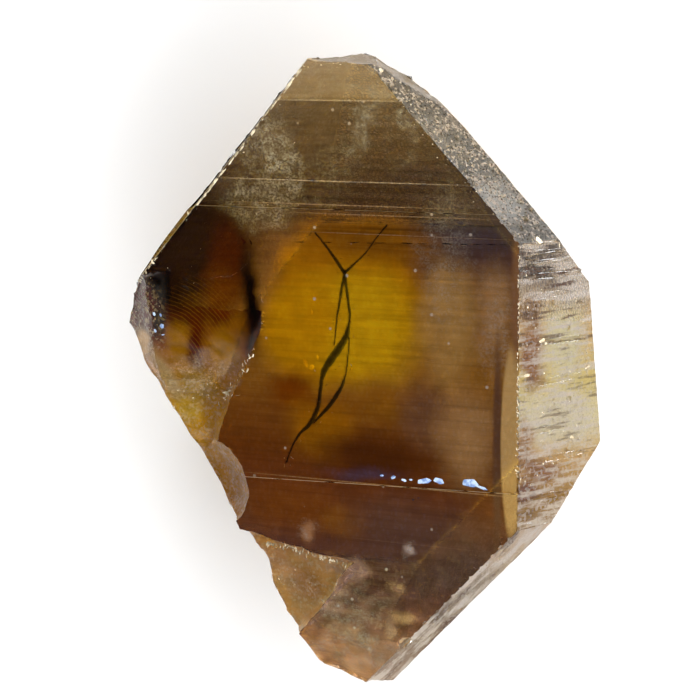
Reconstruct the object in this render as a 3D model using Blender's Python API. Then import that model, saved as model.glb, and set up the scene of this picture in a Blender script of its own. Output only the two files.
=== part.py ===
"""A large natural citrine crystal point, lying on its flat back face.

One solid, in metres. The crystal's long (c) axis runs along +Y with its tip at +Y, the big
striated front face looks up (+Z), and the back face rests on Z = 0. Directions of the growth
faces follow quartz: six prism faces 60 degrees apart, and slopes that lean 38.2 degrees from
them towards each end. The tip, the left side and the root are broken.
"""

import math
import random

import bmesh
import bpy
from mathutils import Matrix, Vector, noise

MM = 0.001

# Driving dimensions, in millimetres, on the front face unless they say otherwise.
THICKNESS = 50.0  # back face to front face
RIGHT_EDGE_X = 41.7  # front face to right prism face
SHOULDER_Y = 27.9  # upper end of the right prism face
ELBOW_Y = -41.5  # lower end of the right prism face
RIGHT_FACE_WIDTH = 25.0  # right prism face, measured round the crystal
LEFT_CORNER = (-60.4, 13.1)  # lower end of the upper left slope
LEFT_EDGE_X = -62.5  # front face to left prism face
TIP_Y = 68.1  # broken tip
UPPER_SLOPE_WIDTH = 12.75  # upper right slope, measured along the right prism face
LOWER_SLOPE_WIDTH = 11.3  # lower right slope, measured the same way
LEFT_SLOPE_DROP = 2.6  # depth of the narrow upper left slope
CENTRE = (-6.49, -8.02)  # middle of the finished crystal in these coordinates

SLOPE = 38.2  # degrees a sloping face leans from the prism face below it
LEFT_SLOPE = 36.6  # the same for the two upper left faces, which grew a little unevenly
TAPER = 5.7  # degrees the hidden right prism face leans, which widens the crystal downwards

NOISE_OCTAVES = 4
WEDGE_SPLITS = 6  # rounds of splitting on the broken planes of a wedge
WEDGE_EDGE = 3.2  # longest edge left on them

# (place on the front face, half sizes, turn) of the deepest chips along its right-hand edges
LARGE_CHIPS = (
    ((9.0, 66.0), (2.2, 1.5, 1.8), 0.4),
    ((12.4, 62.4), (1.9, 1.4, 1.6), 1.3),
    ((13.0, -73.6), (2.4, 1.5, 2.2), 2.1),
)

FRONT = Vector((0, 0, THICKNESS))


def face_normal(around, lean):
    """Outward normal of a face `around` degrees from the front, leaning towards the tip."""
    a, t = math.radians(around), math.radians(lean)
    return Vector((math.sin(a) * math.cos(t), math.sin(t), math.cos(a) * math.cos(t)))


def on_right_face(width, y):
    """Point on the right prism face, `width` round from its front edge."""
    a = math.radians(30)
    return Vector((RIGHT_EDGE_X + width * math.sin(a), y, THICKNESS - width * math.cos(a)))


def growth_faces():
    """(point, outward normal) of each growth face, in millimetres."""
    left = Vector((*LEFT_CORNER, THICKNESS))
    left_lip = left + Vector((0, 0, -LEFT_SLOPE_DROP)) + Vector((-1.2, 0, 0))
    shoulder = on_right_face(UPPER_SLOPE_WIDTH, SHOULDER_Y)
    elbow = on_right_face(LOWER_SLOPE_WIDTH, ELBOW_Y)
    right_side = on_right_face(RIGHT_FACE_WIDTH, 0)
    back_top = Vector((0, TIP_Y + 1.5, THICKNESS - 17))
    back_root = Vector((0, -62, 0))
    return [
        (FRONT, face_normal(0, 0)),
        (right_side, face_normal(60, 0)),
        (right_side, face_normal(120, TAPER)),
        (Vector((0, 0, 0)), face_normal(180, 0)),
        (Vector((LEFT_EDGE_X - 13, 0, THICKNESS - 23)), face_normal(240, 0)),
        (Vector((LEFT_EDGE_X, 0, THICKNESS)), face_normal(300, 0)),
        (Vector((RIGHT_EDGE_X, SHOULDER_Y, THICKNESS)), face_normal(60, SLOPE)),
        (shoulder, face_normal(120, SLOPE)),
        (back_top, face_normal(180, SLOPE)),
        (left_lip, face_normal(240, LEFT_SLOPE)),
        (left, face_normal(300, LEFT_SLOPE)),
        (Vector((RIGHT_EDGE_X, ELBOW_Y, THICKNESS)), face_normal(60, -SLOPE)),
        (elbow, face_normal(120, -SLOPE)),
        (back_root, face_normal(180, -SLOPE)),
    ]


def new_object(name, bm, collection, frame):
    """Make `bm`, in millimetres, an object in metres that hangs on the frame empty."""
    bmesh.ops.scale(bm, vec=(MM, MM, MM), verts=bm.verts)
    bmesh.ops.recalc_face_normals(bm, faces=bm.faces)
    mesh = bpy.data.meshes.new(name)
    bm.to_mesh(mesh)
    bm.free()
    made = bpy.data.objects.new(name, mesh)
    made.parent = frame
    collection.objects.link(made)
    return made


def facing(normal):
    """Rotation that turns +Z to `normal`."""
    return normal.to_track_quat("Z", "Y").to_matrix().to_4x4()


def ragged(point, scale, seed):
    """Fractal noise between about -1 and 1, always the same for the same point."""
    moved = Vector(point) / scale + Vector((seed, 2.3 * seed, -1.7 * seed))
    return noise.fractal(moved, 0.9, 2.1, NOISE_OCTAVES)


def crystal_body():
    """Cube sawn by every growth face in turn."""
    bm = bmesh.new()
    bmesh.ops.create_cube(bm, size=260)
    for point, normal in growth_faces():
        everything = bm.verts[:] + bm.edges[:] + bm.faces[:]
        cut = bmesh.ops.bisect_plane(
            bm, geom=everything, plane_co=point, plane_no=normal, clear_outer=True
        )
        rim = [e for e in cut["geom_cut"] if isinstance(e, bmesh.types.BMEdge)]
        bmesh.ops.contextual_create(bm, geom=rim)
    return bm


def rough_block(point, normal, size, cuts, relief, scale, seed):
    """Block on the outer side of a break, whose face on the crystal is uneven."""
    bm = bmesh.new()
    bmesh.ops.create_cube(bm, size=1)
    bmesh.ops.subdivide_edges(bm, edges=bm.edges[:], cuts=cuts, use_grid_fill=True)
    for v in bm.verts:
        v.co = Vector((v.co.x * size[0], v.co.y * size[1], (v.co.z + 0.5) * size[2]))
    place = Matrix.Translation(point) @ facing(normal.normalized())
    bmesh.ops.transform(bm, matrix=place, verts=bm.verts)
    for v in bm.verts:
        v.co += normal.normalized() * relief * ragged(v.co, scale, seed)
    return bm


def rippled(point, scale, seed, ripple):
    """Height of the waves that a shell-like break spreads from where it started."""
    if not ripple:
        return 0
    start, spacing, height = ripple
    away = (Vector(point) - start).length / spacing + 0.35 * ragged(point, scale, seed)
    return height * math.sin(2 * math.pi * away)


def scoop(centre, radii, turn, fineness, relief, scale, seed):
    """Egg-shaped cutter with an uneven skin, for a shell-like break."""
    bm = bmesh.new()
    bmesh.ops.create_icosphere(bm, subdivisions=fineness, radius=1)
    spin = Matrix.Rotation(math.radians(turn), 4, "Z")
    place = Matrix.Translation(centre) @ spin @ Matrix.Diagonal((*radii, 1))
    for v in bm.verts:
        out = (spin @ v.co).normalized()
        v.co = place @ v.co
        v.co += out * relief * ragged(v.co, scale, seed)
    return bm


def wedge(faces, relief, scale, seed, ripple=None):
    """Cutter bounded by a few broken planes, given as (point, outward normal)."""
    bm = bmesh.new()
    bmesh.ops.create_cube(bm, size=90, matrix=Matrix.Translation(faces[0][0]))
    for point, normal in faces:
        everything = bm.verts[:] + bm.edges[:] + bm.faces[:]
        cut = bmesh.ops.bisect_plane(
            bm, geom=everything, plane_co=point, plane_no=normal, clear_outer=True
        )
        rim = [e for e in cut["geom_cut"] if isinstance(e, bmesh.types.BMEdge)]
        bmesh.ops.contextual_create(bm, geom=rim)
    for _ in range(WEDGE_SPLITS):
        bmesh.ops.triangulate(bm, faces=bm.faces[:])
        long_edges = [e for e in bm.edges if e.calc_length() > WEDGE_EDGE]
        bmesh.ops.subdivide_edges(bm, edges=long_edges, cuts=1)
    bmesh.ops.triangulate(bm, faces=bm.faces[:])
    for v in bm.verts:
        v.co += relief * Vector([ragged(v.co, scale, seed + 7 * axis) for axis in range(3)])
        v.co.z += rippled(v.co, scale, seed, ripple)
    return bm


def terrace(y, depth, tilt, skew):
    """Thin wedge that lowers the front face above the line `y`, ending in a small ledge."""
    bm = bmesh.new()
    bmesh.ops.create_cube(bm, size=1)
    bmesh.ops.scale(bm, vec=(170, 60, 8), verts=bm.verts)
    bmesh.ops.translate(bm, vec=(0, 30, 4), verts=bm.verts)
    lean = Matrix.Rotation(math.radians(tilt), 4, "X")
    swing = Matrix.Rotation(math.radians(skew), 4, "Z")
    place = Matrix.Translation((0, y, THICKNESS - depth)) @ swing @ lean
    bmesh.ops.transform(bm, matrix=place, verts=bm.verts)
    return bm


def growth_line(width_at, y, length, width, depth, skew):
    """Long thin lens sunk into the right prism face, along a growth line."""
    bm = bmesh.new()
    bmesh.ops.create_icosphere(bm, subdivisions=2, radius=1)
    swing = Matrix.Rotation(math.radians(skew), 4, "Z")
    along = on_right_face(1, 0) - on_right_face(0, 0)
    turn = Matrix((along, Vector((0, 1, 0)), face_normal(60, 0))).transposed().to_4x4()
    size = Matrix.Diagonal((length / 2, width / 2, depth, 1))
    place = Matrix.Translation(on_right_face(width_at, y)) @ turn @ swing @ size
    bmesh.ops.transform(bm, matrix=place, verts=bm.verts)
    return bm


def add_pebble(bm, centre, size, turn):
    """Add a small lopsided ball to a cutter: each one takes out a pit or a chip."""
    added = bmesh.ops.create_icosphere(bm, subdivisions=1, radius=1)["verts"]
    spin = Matrix.Rotation(turn, 4, Vector((0.6, 0.5, 0.62)))
    place = Matrix.Translation(centre) @ spin @ Matrix.Diagonal((*size, 1))
    bmesh.ops.transform(bm, matrix=place, verts=added)


def scattered(rng, count, gap, draw):
    """`count` random places from `draw` that keep `gap` millimetres between them."""
    kept = []
    for _ in range(count * 40):
        place = draw(rng)
        if all((place - other).length > gap for other in kept):
            kept.append(place)
        if len(kept) == count:
            break
    return kept


def pits(seed, count, draw, normal, largest):
    """Cutter for the etch pits of one frosted face."""
    rng = random.Random(seed)
    bm = bmesh.new()
    for place in scattered(rng, count, 2.3 * largest, draw):
        size = largest * rng.uniform(0.55, 1.0)
        sides = (size, size * rng.uniform(0.6, 1.0), size * 0.7)
        add_pebble(bm, place + normal * size * 0.3, sides, rng.uniform(0, 6.28))
    return bm


def chips(seed, count, start, end, outward, largest):
    """Cutter for the small chips along one edge."""
    rng = random.Random(seed)
    bm = bmesh.new()
    places = scattered(
        rng, count, 2.1 * largest, lambda r: start.lerp(end, r.uniform(0.01, 0.99))
    )
    for place in places:
        size = largest * rng.uniform(0.4, 1.0)
        sides = (size, size * rng.uniform(0.7, 1.0), size * rng.uniform(0.7, 1.0))
        add_pebble(bm, place + outward * size * 0.45, sides, rng.uniform(0, 6.28))
    return bm


def slope_point(lean_sign, edge_start, width, along):
    """Point on a right-hand slope, `width` in from its front edge and `along` that edge."""
    run = Vector((-math.sin(math.radians(42.2)), lean_sign * math.cos(math.radians(42.2)), 0))
    normal = face_normal(60, lean_sign * SLOPE)
    inwards = normal.cross(run)
    if inwards.z > 0:
        inwards = -inwards
    return edge_start + run * along + inwards * width


def breaks():
    """(name, mesh) of the cutters for the large breaks."""
    yield "left_break", rough_block(
        point=Vector((-44.7, -38.2, THICKNESS - 14)), normal=Vector((-0.785, -0.50, 0.36)),
        size=(170, 260, 90), cuts=50, relief=2.0, scale=17, seed=3,
    )
    yield "root_break", rough_block(
        point=Vector((-0.4, -85, THICKNESS - 8)), normal=Vector((-0.38, -0.9, 0.05)),
        size=(130, 150, 60), cuts=34, relief=1.8, scale=11, seed=8,
    )
    yield "tip_break", rough_block(
        point=Vector((5, TIP_Y + 0.7, THICKNESS - 3)), normal=Vector((0.09, 1, 0.09)),
        size=(60, 70, 24), cuts=30, relief=0.9, scale=5, seed=5,
    )
    yield "tip_corner_break", rough_block(
        point=Vector((11.0, 63.7, THICKNESS - 11)), normal=Vector((0.55, 0.83, -0.12)),
        size=(60, 70, 24), cuts=26, relief=0.7, scale=5, seed=11,
    )
    yield "shell_break", wedge(
        faces=(
            (Vector((-25.0, 10, THICKNESS)), Vector((0.85, -0.01, -0.52))),
            (Vector((-25.2, 4, THICKNESS)), Vector((0.77, -0.35, -0.53))),
            (Vector((-25.0, 22, THICKNESS)), Vector((-0.031, 0.137, -1))),
        ),
        relief=1.1, scale=12, seed=2, ripple=(Vector((-50.3, 0, THICKNESS - 5)), 6.0, 0.22),
    )
    yield "thumb_break", scoop(
        centre=Vector((-44, -35, THICKNESS + 5)), radii=(17, 12, 13), turn=-35,
        fineness=4, relief=1.2, scale=9, seed=6,
    )
    yield "root_shell_break", wedge(
        faces=(
            (Vector((-0.6, -53.6, THICKNESS)), Vector((0.16, 0.97, -0.30))),
            (Vector((-0.6, -53.6, THICKNESS)), Vector((0.80, -0.60, -0.35))),
            (Vector((-3.0, -55.0, THICKNESS - 1.2)), Vector((0.16, 0.10, -0.98))),
        ),
        relief=0.9, scale=7, seed=9,
    )
    yield "left_hollow", scoop(
        centre=Vector((-38.6, -65, THICKNESS - 12)), radii=(12, 15, 34), turn=-33,
        fineness=4, relief=0.9, scale=9, seed=13,
    )
    yield "corner_break", rough_block(
        point=Vector((-63, -2, THICKNESS - 7)), normal=Vector((-0.55, -0.15, 0.82)),
        size=(60, 60, 20), cuts=24, relief=0.6, scale=6, seed=4,
    )


def ledges():
    """(name, mesh) of the cutters for the ledges and growth lines."""
    terraces = (
        dict(y=60.3, depth=0.5, tilt=0.45, skew=0),
        dict(y=41.0, depth=0.35, tilt=0.5, skew=-0.4),
        dict(y=34.2, depth=0.3, tilt=0.35, skew=0.2),
        dict(y=-33.6, depth=0.45, tilt=0.42, skew=1.6),
    )
    for number, measures in enumerate(terraces, 1):
        yield f"terrace_{number}", terrace(**measures)
    lines = (
        dict(width_at=11, y=26.6, length=22, width=1.6, depth=0.5, skew=-1),
        dict(width_at=13, y=24.2, length=24, width=1.3, depth=0.45, skew=1),
        dict(width_at=9, y=21.9, length=17, width=1.5, depth=0.5, skew=0),
        dict(width_at=12, y=19.4, length=22, width=1.0, depth=0.35, skew=-2),
        dict(width_at=10, y=14.8, length=14, width=1.1, depth=0.35, skew=2),
        dict(width_at=15, y=3.4, length=18, width=1.1, depth=0.35, skew=-1),
        dict(width_at=12, y=-6.1, length=21, width=1.2, depth=0.35, skew=1),
        dict(width_at=10, y=-17.8, length=15, width=1.0, depth=0.3, skew=2),
        dict(width_at=14, y=-25.3, length=18, width=1.2, depth=0.35, skew=0),
        dict(width_at=11, y=-34.5, length=16, width=1.3, depth=0.4, skew=-2),
    )
    for number, measures in enumerate(lines, 1):
        yield f"growth_line_{number}", growth_line(**measures)


def wear():
    """(name, mesh) of the cutters for the etch pits and chipped edges."""
    shoulder = Vector((RIGHT_EDGE_X, SHOULDER_Y, THICKNESS))
    elbow = Vector((RIGHT_EDGE_X, ELBOW_Y, THICKNESS))
    tip_right = slope_point(1, shoulder, 0, 54)
    root_right = slope_point(-1, elbow, 0, 48)
    left = Vector((*LEFT_CORNER, THICKNESS))
    tip_left = Vector((-10.7, TIP_Y, THICKNESS))
    upper, lower, side = face_normal(60, SLOPE), face_normal(60, -SLOPE), face_normal(60, 0)
    front = face_normal(0, 0)
    yield "upper_pits", pits(
        seed=21, count=34, normal=upper, largest=1.25,
        draw=lambda r: slope_point(1, shoulder, r.uniform(1.6, 11.5), r.uniform(1, 46)),
    )
    yield "lower_pits", pits(
        seed=22, count=20, normal=lower, largest=1.1,
        draw=lambda r: slope_point(-1, elbow, r.uniform(1.4, 9.5), r.uniform(2, 44)),
    )
    yield "side_pits", pits(
        seed=23, count=22, normal=side, largest=1.0,
        draw=lambda r: on_right_face(r.uniform(9, 22), r.uniform(-30, 14)),
    )
    yield "upper_edge_chips", chips(
        seed=31, count=17, start=shoulder, end=tip_right,
        outward=(upper + front).normalized(), largest=1.3,
    )
    yield "right_edge_chips", chips(
        seed=32, count=18, start=shoulder, end=elbow,
        outward=(side + front).normalized(), largest=0.9,
    )
    yield "lower_edge_chips", chips(
        seed=33, count=13, start=elbow, end=root_right,
        outward=(lower + front).normalized(), largest=1.2,
    )
    yield "left_edge_chips", chips(
        seed=34, count=9, start=left, end=tip_left,
        outward=Vector((-0.4, 0.4, 0.8)), largest=0.8,
    )
    large = bmesh.new()
    for place, size, turn in LARGE_CHIPS:
        add_pebble(large, Vector((*place, THICKNESS - 0.4)), size, turn)
    yield "large_chips", large


def citrine():
    """Smoky golden quartz."""
    material = bpy.data.materials.new("citrine")
    material.use_nodes = True
    shader = material.node_tree.nodes["Principled BSDF"]
    shader.inputs["Base Color"].default_value = (0.62, 0.38, 0.09, 1)
    shader.inputs["Roughness"].default_value = 0.08
    shader.inputs["Metallic"].default_value = 0.0
    shader.inputs["Transmission Weight"].default_value = 1.0
    shader.inputs["IOR"].default_value = 1.544
    return material


def main():
    for old in list(bpy.data.objects):
        bpy.data.objects.remove(old)
    parts = bpy.data.collections.new("citrine_crystal_point")
    helpers = bpy.data.collections.new("cutters")
    for collection in (parts, helpers):
        bpy.context.scene.collection.children.link(collection)
    frame = bpy.data.objects.new("crystal_frame", None)
    frame.location = (-CENTRE[0] * MM, -CENTRE[1] * MM, 0)
    parts.objects.link(frame)
    crystal = new_object("crystal", crystal_body(), parts, frame)
    crystal.data.materials.append(citrine())
    for name, bm in (*breaks(), *ledges(), *wear()):
        cutter = new_object(name, bm, helpers, frame)
        cutter.hide_render = True
        cutter.display_type = "WIRE"
        cut = crystal.modifiers.new(name, "BOOLEAN")
        cut.operation = "DIFFERENCE"
        cut.solver = "EXACT"
        cut.object = cutter


main()
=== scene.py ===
import math
import random

import bpy
import numpy as np
from mathutils import Matrix, Vector, noise


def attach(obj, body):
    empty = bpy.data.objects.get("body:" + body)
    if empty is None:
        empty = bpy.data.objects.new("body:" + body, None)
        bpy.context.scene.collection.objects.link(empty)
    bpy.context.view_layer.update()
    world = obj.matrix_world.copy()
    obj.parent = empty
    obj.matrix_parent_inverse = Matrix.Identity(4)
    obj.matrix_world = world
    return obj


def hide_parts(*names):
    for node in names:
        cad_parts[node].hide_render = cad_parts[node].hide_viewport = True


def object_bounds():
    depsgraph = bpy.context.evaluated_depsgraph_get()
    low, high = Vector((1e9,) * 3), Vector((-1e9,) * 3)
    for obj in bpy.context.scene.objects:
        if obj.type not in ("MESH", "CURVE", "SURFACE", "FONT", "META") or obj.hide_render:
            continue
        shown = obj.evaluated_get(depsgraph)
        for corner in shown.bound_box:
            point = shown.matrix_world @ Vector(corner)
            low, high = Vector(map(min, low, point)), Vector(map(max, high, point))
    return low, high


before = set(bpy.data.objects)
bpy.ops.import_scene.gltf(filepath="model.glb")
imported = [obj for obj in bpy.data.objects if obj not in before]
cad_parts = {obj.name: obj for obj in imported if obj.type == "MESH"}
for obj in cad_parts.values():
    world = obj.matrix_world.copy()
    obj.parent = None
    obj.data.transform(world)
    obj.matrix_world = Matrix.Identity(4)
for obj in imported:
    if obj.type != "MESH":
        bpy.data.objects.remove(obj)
cad_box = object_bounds()
scene = bpy.context.scene
noise.seed_set(1)  # without a seed, noise_vector draws another pattern at each run

MM = 0.001
FRONT = 50.0  # height of the broad upper face, in millimetres
MIDDLE = Vector((-6.49, -8.02, 0))  # middle of the crystal, in the front face's own measures
IOR = 1.544
BREAK_LEAN = (0.5, 0.25)  # how far a colour zone leans for each millimetre of depth
SIDE_LEAN = (0.31, 0.15)
SEEN_LEAN = (0.252, 0.122)  # the same for what is seen inside, through the front face


# ---------------------------------------------------------------- helpers

def at(x, y, z=FRONT):
    """Place in metres of a point measured in millimetres on the front face."""
    return (Vector((x, y, z)) - MIDDLE) * MM


def seen_at(x, y, depth):
    """Point `depth` under the front face that shows through it at (x, y)."""
    return at(x - SEEN_LEAN[0] * depth, y - SEEN_LEAN[1] * depth, FRONT - depth)


def face_normal(around, lean):
    """Outward normal of a growth face, `around` degrees from the front."""
    a, t = math.radians(around), math.radians(lean)
    return Vector((math.sin(a) * math.cos(t), math.sin(t), math.cos(a) * math.cos(t)))


def deselect():
    if bpy.context.object and bpy.context.object.mode != "OBJECT":
        bpy.ops.object.mode_set(mode="OBJECT")
    bpy.ops.object.select_all(action="DESELECT")


def only(obj):
    deselect()
    bpy.context.view_layer.objects.active = obj
    obj.select_set(True)


def read(items, attribute, width=1, kind=float):
    """One attribute of all of a mesh's items as an array, `width` numbers to a row."""
    values = np.empty(len(items) * width, kind)
    items.foreach_get(attribute, values)
    return values.reshape(-1, width) if width > 1 else values


def choose(kind):
    """Empties what is chosen in the active mesh and says what is chosen next: FACE or EDGE."""
    bpy.ops.object.mode_set(mode="EDIT")
    bpy.ops.mesh.select_mode(type=kind)
    bpy.ops.mesh.select_all(action="DESELECT")
    bpy.ops.object.mode_set(mode="OBJECT")


def weld(obj):
    """Merges the doubled vertices of an object and turns its faces outwards."""
    only(obj)
    bpy.ops.object.mode_set(mode="EDIT")
    bpy.ops.mesh.select_all(action="SELECT")
    bpy.ops.mesh.remove_doubles(threshold=1e-6)
    bpy.ops.mesh.normals_make_consistent(inside=False)
    bpy.ops.object.mode_set(mode="OBJECT")


# ---------------------------------------------------------------- camera, floor, light

def set_camera():
    """Above the lying crystal, a little to its right and towards its point."""
    lens = bpy.data.cameras.new("camera")
    lens.lens = 97.69
    lens.sensor_width = 36.0
    lens.clip_start = 0.01
    camera = bpy.data.objects.new("camera", lens)
    scene.collection.objects.link(camera)
    right = (0.92494, -0.00909, -0.37997)
    up = (-0.06105, 0.98318, -0.17213)
    back = (0.37515, 0.18241, 0.90883)
    turn = Matrix((right, up, back)).transposed().to_4x4()
    camera.matrix_world = Matrix.Translation((0.17907, 0.09253, 0.47105)) @ turn
    scene.camera = camera


def lay_floor():
    deselect()
    bpy.ops.mesh.primitive_plane_add(size=8, location=(0, 0, -0.0003))
    floor = bpy.context.object
    floor.name = "floor"
    paint, _, shader = new_material("white_floor")
    shader.inputs["Base Color"].default_value = (0.9, 0.9, 0.9, 1)
    shader.inputs["Roughness"].default_value = 0.9
    floor.data.materials.append(paint)


def set_light():
    """Bright studio walls, brightest on the right, under a dark ceiling."""
    world = bpy.data.worlds.new("studio")
    scene.world = world
    world.use_nodes = True
    tree = world.node_tree
    background = tree.nodes["Background"]
    place = add(tree, "TexCoord").outputs["Generated"]
    way = add(tree, "SeparateXYZ", {}, {0: place}).outputs
    under_ceiling = ranged(tree, way["Z"], 0.60, 0.80, 1.0, 0.012)
    towards_right = ranged(tree, way["X"], -0.8, 0.5, 0.7, 5.0)
    strength = times(tree, under_ceiling, towards_right)
    tree.links.new(strength, background.inputs["Strength"])
    background.inputs["Color"].default_value = (1, 1, 1, 1)
    scene.view_settings.view_transform = "Standard"
    scene.cycles.max_bounces = 10
    scene.cycles.diffuse_bounces = 2
    scene.cycles.glossy_bounces = 6
    scene.cycles.transmission_bounces = 10
    scene.cycles.transparent_max_bounces = 4


# ---------------------------------------------------------------- the crystal's mesh

# Each strand is a line of points (x, y, width) as seen through the front face, and a depth.
STRANDS = (
    (2.2, ((-1.3, 7, 0.5), (-2.2, 3.4, 1.5), (-4.2, 0.2, 2.0), (-6.5, -3, 2.0), (-8.2, -5.6, 1.6),
         (-8.9, -8, 1.0), (-9.3, -11, 1.0), (-10, -15, 1.1), (-11.4, -18, 1.2), (-12.8, -20, 1.0),
         (-14.6, -21.6, 0.7), (-16.3, -24, 0.45), (-17.8, -27, 0.35), (-18.8, -29.8, 0.5))),
    (2.2, ((-2.5, 19.4, 0.9), (-2.1, 16, 0.75), (-1.6, 12, 0.65), (-1.2, 9, 0.6), (-1.3, 7, 0.5))),
    (2.2, ((-2.6, 19, 0.9), (-4.4, 21.6, 0.8), (-7, 25, 0.6), (-10.2, 28.6, 0.3))),
    (2.2, ((-2.2, 19.2, 0.8), (-0.2, 21, 0.5), (3, 24, 0.3), (6, 28, 0.25), (8.6, 31, 0.5))),
    (3, ((-2.6, 18.4, 0.5), (-3.3, 15, 0.7), (-3.8, 12, 0.6), (-4.5, 8.5, 0.45), (-5, 4, 0.3),
         (-5.4, 1, 0.25))),
    (2.6, ((-1.4, 3, 0.3), (-1.7, -1, 0.3), (-2.4, -6, 0.35), (-3.4, -9, 0.8), (-5.2, -12, 1.1),
         (-7, -14.5, 1.0), (-9.3, -17, 0.7), (-11.2, -19, 0.5))),
)

FACES = {  # growth face: (a point on it, its outward normal)
    "front": (at(0, 0), face_normal(0, 0)),
    "upper_right": (at(41.7, 27.9), face_normal(60, 38.2)),
    "right_side": (at(41.7, 0), face_normal(60, 0)),
    "lower_right": (at(41.7, -41.5), face_normal(60, -38.2)),
    "left_slope": (at(-60.4, 13.1), face_normal(300, 36.6)),
    "rest": (at(0, 0, 0), face_normal(180, 0)),
    "right_back": (at(41.7 + 12.5, 0, FRONT - 21.65), face_normal(120, 5.7)),
    "upper_back": (at(41.7 + 6.375, 27.9, FRONT - 11.04), face_normal(120, 38.2)),
    "lower_back": (at(41.7 + 5.65, -41.5, FRONT - 9.79), face_normal(120, -38.2)),
    "top_back": (at(0, 69.6, FRONT - 17), face_normal(180, 38.2)),
    "left_back": (at(-61.6, 13.1, FRONT - 2.6), face_normal(240, 36.6)),
    "root_back": (at(0, -62, 0), face_normal(180, -38.2)),
    "left_prism": (at(-75.5, 0, FRONT - 23), face_normal(240, 0)),
}
SPLIT = {  # longest edge left in each kind of surface, in millimetres
    "front": 1.8, "rest": None, "left_slope": None, "ledge": None,
    "upper_right": 1.3, "right_side": 1.3, "lower_right": 1.3, "broken": 1.4,
    "right_back": 3.5, "upper_back": 3.5, "lower_back": 3.5, "top_back": 3.5,
    "left_back": 3.5, "root_back": 3.5, "left_prism": 3.5,
}
GRID = 7.0  # spacing of the first cuts across the front face
NEAR_CRACK = 0.5  # longest edge left above the crack
CREST = 24  # degrees past which an edge stays sharp
ROUNDS = 9  # times that the edges are halved at most
KINDS = list(SPLIT)
NEAR = 1.3 * MM  # pits, chips and ledges this near a growth face are finished like it
STEP = 1.2  # the steps across the front face are no deeper than this
FLAT = 0.9985  # least cosine between a polygon and the flat face that it belongs to
ROUGH = 0.2  # the same for the frosted faces, whose pits turn every way
OTHER = 0.97  # and for all the rest
LEVEL = 0.9998  # least upward share of the normal of a front polygon that is shaded flat
FACING = {
    "front": FLAT, "rest": FLAT, "left_slope": FLAT,
    "upper_right": ROUGH, "right_side": ROUGH, "lower_right": ROUGH,
}


def kinds_of(mesh):
    """For each polygon, the number of the kind of surface that it belongs to."""
    centres = read(mesh.polygons, "center", 3)
    normals = read(mesh.polygons, "normal", 3)
    found = np.full(len(centres), KINDS.index("broken"))
    best = np.full(len(centres), NEAR)
    for name, (point, normal) in FACES.items():
        away = np.abs((centres - np.array(point)) @ np.array(normal))
        away = np.where(normals @ np.array(normal) > FACING.get(name, OTHER), away, 1)
        nearer = away < best
        found[nearer] = KINDS.index(name)
        best[nearer] = away[nearer]
    high = centres[:, 2] > (FRONT - STEP) * MM
    found[high & (np.abs(normals[:, 1]) > 0.9) & (np.abs(normals[:, 0]) < 0.3)] = KINDS.index("ledge")
    return found


def cut_grid(obj):
    """Cuts the front face into squares, so that it divides evenly afterwards."""
    low, high = cad_box
    cuts = [((x, 0, 0), (1, 0, 0)) for x in np.arange(low[0], high[0], GRID * MM)]
    cuts += [((0, y, 0), (0, 1, 0)) for y in np.arange(low[1], high[1], GRID * MM)]
    lowest = FRONT * MM - NEAR
    for place, normal in cuts:
        choose("FACE")
        for face in obj.data.polygons:
            face.select = face.normal.z > FLAT and face.center.z > lowest
        bpy.ops.object.mode_set(mode="EDIT")
        bpy.ops.mesh.bisect(plane_co=place, plane_no=normal)
        bpy.ops.object.mode_set(mode="OBJECT")


def off_line(places, points):
    """Distance from places to a line of points (x, y, width), and its width there."""
    nearest = np.full(len(places), 1e3)
    width = np.zeros(len(places))
    for (x0, y0, w0), (x1, y1, w1) in zip(points, points[1:]):
        along = np.array((x1 - x0, y1 - y0))
        share = np.clip((places - (x0, y0)) @ along / (along @ along), 0, 1)
        away = np.hypot(*(places - (x0, y0) - share[:, None] * along).T)
        closer = away < nearest
        nearest[closer] = away[closer]
        width[closer] = (w0 + share * (w1 - w0))[closer]
    return nearest, width


def split_long_edges(obj):
    """Divides the edges of every surface until none is longer than its limit."""
    limits = np.array([(SPLIT[k] or 1000) * MM for k in KINDS])
    for _ in range(ROUNDS):
        mesh = obj.data
        kinds = kinds_of(mesh)
        places = read(mesh.polygons, "center", 3)[:, :2] / MM + np.array(MIDDLE[:2])
        limit = limits[kinds]
        above = kinds == KINDS.index("front")
        for _, points in STRANDS:
            away, width = off_line(places, points)
            limit[above & (away < width + 0.6)] = NEAR_CRACK * MM
        wanted = np.full(len(mesh.edges), 1.0)
        loop_edges = read(mesh.loops, "edge_index", kind=int)
        totals = read(mesh.polygons, "loop_total", kind=int)
        np.minimum.at(wanted, loop_edges, np.repeat(limit, totals))
        starts, ends = read(mesh.edges, "vertices", 2, int).T
        co = read(mesh.vertices, "co", 3)
        chosen = np.linalg.norm(co[starts] - co[ends], axis=1) > wanted
        if not chosen.any():
            break
        choose("EDGE")
        mesh.edges.foreach_set("select", chosen)
        bpy.ops.object.mode_set(mode="EDIT")
        bpy.ops.mesh.subdivide(number_cuts=1)
        bpy.ops.mesh.select_all(action="SELECT")
        bpy.ops.mesh.quads_convert_to_tris(quad_method="SHORTEST_DIAGONAL", ngon_method="BEAUTY")
        bpy.ops.object.mode_set(mode="OBJECT")


def cloud(p, scale, seed, octaves):
    """Fractal noise, about -1 to 1, at a point in millimetres."""
    q = Vector((p[0] / scale[0] + seed, p[1] / scale[1] + 2.3 * seed, p[2] / scale[2] - seed))
    return noise.fractal(q, 0.8, 2.1, octaves)


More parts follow.
